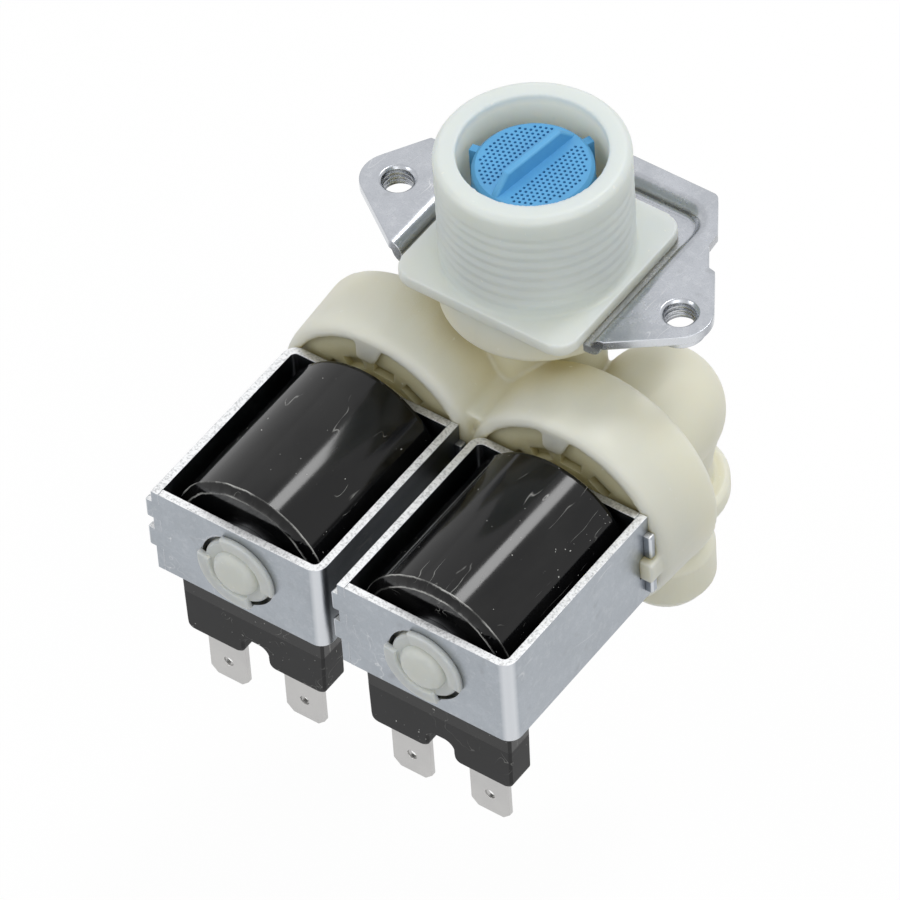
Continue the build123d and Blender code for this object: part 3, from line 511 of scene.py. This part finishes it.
def smooth_shaded(mesh, angle=crease):
    """Shade smooth, with a crease where faces meet at more than the angle."""
    mesh.shade_smooth()
    mesh.set_sharp_from_angle(angle=angle)


def set_material(piece, material):
    piece.data.materials.clear()
    piece.data.materials.append(material)


def dress(piece, node, material):
    """Give a replacement its finish, and let it stand for its part on the valve."""
    set_material(piece, material)
    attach(piece, "valve")
    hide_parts(node)


# Valve body: the spigot's thread. It fades in above its foot and out below its top, and only
# what lies within a skin of the spigot's own radius is cut
thread_pitch = 1.814 * MM
thread_depth = 0.17 * MM
thread_foot = 0.2 * MM
thread_top = spigot_top - 3.6 * MM
fade_foot = 0.8 * MM
fade_top = 0.5 * MM
skin = 0.6 * MM

# The even mesh that the moulding is smoothed on, and the share of its faces that is kept
voxel = 0.30 * MM
smoothings = 2
kept_faces = 0.38


def cut_thread(mesh):
    """Shallow rounded thread on the spigot."""
    outer = spigot_d / 2
    for vertex in mesh.vertices:
        x, y, z = vertex.co
        away = hypot(x, y)
        if z < thread_foot or z > thread_top or abs(away - outer) > skin:
            continue
        angle = atan2(y, x)
        turn = (z / thread_pitch + angle / (2 * pi)) % 1.0
        groove = 0.5 - 0.5 * cos(2 * pi * turn)
        fade = min(1.0, (thread_top - z) / fade_top, (z - thread_foot) / fade_foot)
        depth = thread_depth * groove ** 2.0 * max(fade, 0.0)
        vertex.co.x -= x / away * depth
        vertex.co.y -= y / away * depth


def make_valve_body():
    """The moulding with soft edges and the thread on its spigot."""
    body = merged_copy("valve_body", "valve_moulding")
    remesh = body.modifiers.new("even", "REMESH")
    remesh.mode = "VOXEL"
    remesh.voxel_size = voxel
    bake_modifiers(body)
    cut_thread(body.data)
    soften = body.modifiers.new("soften", "SMOOTH")
    soften.factor = 0.5
    soften.iterations = smoothings
    thin = body.modifiers.new("thin", "DECIMATE")
    thin.ratio = kept_faces
    bake_modifiers(body)
    body.data.shade_smooth()
    dress(body, "valve_body", materials["nylon"])


# Faces that meet at less than this are one flat face
flat = radians(1.0)


def soften_edges(piece, width, angle=radians(40), segments=2):
    """Break the edges of a piece, then shade it smooth."""
    shape = bmesh.new()
    shape.from_mesh(piece.data)
    bmesh.ops.dissolve_limit(
        shape, angle_limit=flat, verts=shape.verts, edges=shape.edges, delimit=set()
    )
    shape.to_mesh(piece.data)
    shape.free()
    bevel = piece.modifiers.new("broken_edge", "BEVEL")
    bevel.width = width
    bevel.segments = segments
    bevel.limit_method = "ANGLE"
    bevel.angle_limit = angle
    bake_modifiers(piece)
    even_normals(piece)


def even_normals(piece):
    """Shade smooth, with the broad faces flat and only their broken edges turning."""
    smooth_shaded(piece.data, edge_crease)
    weighted = piece.modifiers.new("even_normals", "WEIGHTED_NORMAL")
    weighted.keep_sharp = True
    bake_modifiers(piece)


def make_rounded(node, name, material, width):
    """A piece as it is, with its sharp edges broken."""
    piece = merged_copy(node, name)
    soften_edges(piece, width)
    dress(piece, node, material)


def cut_away(piece, cutter):
    """Take a closed cutter out of a piece, and drop the cutter."""
    cut = piece.modifiers.new("cut", "BOOLEAN")
    cut.operation = "DIFFERENCE"
    cut.solver = "MANIFOLD"
    cut.object = cutter
    bake_modifiers(piece)
    bpy.data.objects.remove(cutter)


def make_spring(side):
    """The spring in front of a plunger, with a mesh of its own."""
    node = f"{side}_plunger_spring"
    spring = merged_copy(node, f"{side}_return_spring")
    smooth_shaded(spring.data)
    dress(spring, node, materials["steel"])
    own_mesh(spring)


# Mounting bracket: its two threaded holes. The thread's groove has a start below the ears, a
# number of turns, steps in a turn, two radii, and half its width as a share of the pitch
screw_places = (Vector((-22.75, 0, 0)) * MM, Vector((22.75, 0, 0)) * MM)
screw_pitch = 0.8 * MM
screw_r = 2.1 * MM
groove_start = -3.3 * MM
groove_turns = 4.6
groove_steps = 28
groove_in = screw_r - 0.25 * MM
groove_out = screw_r + 0.33 * MM
groove_half = 0.52


def thread_cutter(centre):
    """Helical groove of a screw hole, as a closed triangular coil."""
    shape = bmesh.new()
    section = ((groove_in, groove_half), (groove_out, 0.0), (groove_in, -groove_half))
    rings = []
    for step in range(int(groove_steps * groove_turns) + 1):
        angle = 2 * pi * step / groove_steps
        middle = groove_start + screw_pitch * step / groove_steps
        ring = []
        for radius, rise in section:
            height = middle + rise * screw_pitch
            spot = centre + Vector((radius * cos(angle), radius * sin(angle), height))
            ring.append(shape.verts.new(spot))
        rings.append(ring)
    for low, high in zip(rings, rings[1:]):
        for corner in range(3):
            after = (corner + 1) % 3
            shape.faces.new((low[corner], low[after], high[after], high[corner]))
    shape.faces.new(reversed(rings[0]))
    shape.faces.new(rings[-1])
    bmesh.ops.recalc_face_normals(shape, faces=shape.faces)
    mesh = bpy.data.meshes.new("thread_groove")
    shape.to_mesh(mesh)
    shape.free()
    cutter = bpy.data.objects.new("thread_groove", mesh)
    scene.collection.objects.link(cutter)
    return cutter


def make_bracket():
    """The bracket with broken edges and a thread in each screw hole."""
    bracket = merged_copy("mounting_bracket", "bracket_plate")
    soften_edges(bracket, width=0.15 * MM)
    for centre in screw_places:
        cut_away(bracket, thread_cutter(centre))
    even_normals(bracket)
    dress(bracket, "mounting_bracket", materials["bracket"])


# Inlet filter: staggered rows of holes out to a reach from the middle, clear of a band along
# the pull rib. Short pins cut them
hole_pitch = 0.76 * MM
row_share = 0.866
hole_d = 0.42 * MM
hole_rows = 27
holes_reach = 7.05 * MM
rib_band = 1.55 * MM
rib_turn = radians(-8)
pin_length = 3 * MM
pin_sides = 10


class Pattern(Tree):
    """A Geometry Nodes tree with named inputs."""

    def __init__(self, name, **values):
        group = bpy.data.node_groups.new(name, "GeometryNodeTree")
        super().__init__(group)
        self.values = values
        for key in values:
            group.interface.new_socket(key, in_out="INPUT", socket_type="NodeSocketFloat")
        group.interface.new_socket("Geometry", in_out="OUTPUT", socket_type="NodeSocketGeometry")
        self.entry = group.nodes.new("NodeGroupInput")

    def value(self, key):
        return Wire(self, self.entry.outputs[key])

    def apply_to(self, piece, result):
        """End the tree, give its named inputs their values and put it on a piece."""
        self.node("NodeGroupOutput", {}, {"Geometry": result})
        pattern = piece.modifiers.new(self.tree.name, "NODES")
        pattern.node_group = self.tree
        for item in self.tree.interface.items_tree:
            if item.in_out == "INPUT":
                pattern[item.identifier] = self.values[item.name]
        bake_modifiers(piece)


def filter_holes():
    """Staggered rows of short pins that cut the filter's holes, clear of its rib."""
    pattern = Pattern(
        "filter_holes", pitch=hole_pitch, hole_r=hole_d / 2, reach=holes_reach, band=rib_band
    )
    pitch = pattern.value("pitch")
    row_pitch = pitch * row_share
    field = {
        "Size X": row_pitch * (hole_rows - 1),
        "Size Y": pitch * (hole_rows - 1),
        "Vertices X": hole_rows,
        "Vertices Y": hole_rows,
    }
    grid = pattern.node("GeometryNodeMeshGrid", {}, field)
    row = (pattern.node("GeometryNodeInputIndex") / hole_rows).maths("FLOOR")
    shift = row.maths("MODULO", 2.0) * pitch * 0.5
    shifted = pattern.node("ShaderNodeCombineXYZ", {}, {"Y": shift})
    spots = pattern.node("GeometryNodeSetPosition", {}, {"Geometry": grid, "Offset": shifted})
    place = pattern.node("GeometryNodeInputPosition")
    length = {"operation": "LENGTH"}
    away = pattern.node("ShaderNodeVectorMath", length, {0: place}, output="Value")
    across = pattern.node("ShaderNodeSeparateXYZ", {}, {0: place}, output="X").maths("ABSOLUTE")
    outside = away.above(pattern.value("reach")).highest(pattern.value("band").above(across))
    dropped = {"Geometry": spots, "Selection": outside}
    kept = pattern.node("GeometryNodeDeleteGeometry", {"domain": "POINT"}, dropped)
    pin_size = {"Vertices": pin_sides, "Radius": pattern.value("hole_r"), "Depth": pin_length}
    pin = pattern.node("GeometryNodeMeshCylinder", {}, pin_size)
    pins = pattern.node("GeometryNodeInstanceOnPoints", {}, {"Points": kept, "Instance": pin})
    solid = pattern.node("GeometryNodeRealizeInstances", {}, {"Geometry": pins})
    dressed = {"Geometry": solid, "Material": materials["blue"]}
    blue = pattern.node("GeometryNodeSetMaterial", {}, dressed)
    cutter = bpy.data.objects.new("filter_holes", bpy.data.meshes.new("filter_holes"))
    scene.collection.objects.link(cutter)
    pattern.apply_to(cutter, blue)
    turn = Matrix.Rotation(rib_turn, 4, "Z")
    cutter.data.transform(Matrix.Translation((0, 0, filter_top)) @ turn)
    return cutter


def make_filter():
    """The filter with broken edges and its field of small holes."""
    cap = merged_copy("inlet_filter", "filter_cap")
    soften_edges(cap, width=0.22 * MM, angle=radians(35), segments=3)
    cut_away(cap, filter_holes())
    even_normals(cap)
    dress(cap, "inlet_filter", materials["blue"])


materials = {
    "nylon": nylon(
        "natural_nylon",
        cool=rgb(217, 224, 220),
        warm=rgb(231, 229, 210),
        shade_colour=rgb(192, 180, 128),
    ),
    # Painted light in part: the bonnet's thin tips, which are lit, stay cool, its face further in
    # warm
    "bonnet": nylon(
        "bonnet_nylon",
        cool=rgb(216, 219, 211),
        warm=rgb(222, 217, 184),
        shade_colour=rgb(184, 172, 118),
        letter="Y",
        warm_from=-47.0,
        warm_to=-30.0,
    ),
    "frame": zinc("frame_zinc", rgb(172, 178, 185), rough=0.34, lit_cut_edges=1.0, reach=7 * MM),
    "bracket": zinc(
        "bracket_zinc",
        rgb(182, 185, 191),
        rough=0.26,
        lit_cut_edges=0.0,
        reach=1.2 * MM,
        clear_of=19.0,
    ),
    "resin": resin("coil_resin"),
    "blue": plain("filter_blue", rgb(92, 172, 224), 0.45, grain=0.3 * MM, IOR=1.5),
    "tin": plain("terminal_tin", rgb(204, 203, 201), 0.36, metal=0.85),
    "steel": plain("plunger_steel", rgb(170, 172, 176), 0.3, metal=1.0),
    "copper": plain("winding_copper", rgb(190, 110, 70), 0.35, metal=1.0),
    "rubber": plain("black_rubber", rgb(38, 38, 38), 0.7),
    "grey_plastic": plain("grey_plastic", rgb(200, 200, 196), 0.5),
}

# Inner parts that keep their own mesh, and their finish
shared_inside = {"flow_regulator_holder": "grey_plastic", "flow_regulator_washer": "rubber"}
unit_inside = {
    "pole_sleeve_front": "steel",
    "pole_sleeve_back": "steel",
    "coil_bobbin": "grey_plastic",
    "coil_winding": "copper",
    "diaphragm": "rubber",
    "diaphragm_carrier": "grey_plastic",
    "plunger": "steel",
    "plunger_seal": "rubber",
}

# Parts of a unit that get broken edges: part, name, finish, slot and width of the edge
unit_outside = (
    ("coil_frame_front", "frame_strip_front", "frame", "frame_zinc", 0.14 * MM),
    ("coil_frame_back", "frame_strip_back", "frame", "frame_zinc", 0.14 * MM),
    ("coil_overmould", "coil_drum", "resin", "coil_resin", 0.18 * MM),
    ("terminal_outer", "blade_outer", "tin", "terminal_tin", 0.12 * MM),
    ("terminal_inner", "blade_inner", "tin", "terminal_tin", 0.12 * MM),
    ("bonnet", "bonnet_moulding", "bonnet", "bonnet_plastic", 0.16 * MM),
)


def finish_inside(node, key):
    """Give a part that keeps its own mesh its finish."""
    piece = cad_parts[node]
    set_material(piece, materials[key])
    smooth_shaded(piece.data)


for node, key in shared_inside.items():
    finish_inside(node, key)

for side in SIDES:
    for part, key in unit_inside.items():
        finish_inside(f"{side}_{part}", key)
    for part, name, key, slot, width in unit_outside:
        make_rounded(f"{side}_{part}", f"{side}_{name}", materials[key], width)
    make_spring(side)

make_bracket()
make_filter()
make_valve_body()

place_camera()
light_scene()
lay_floor()
scene.view_settings.view_transform = "Standard"
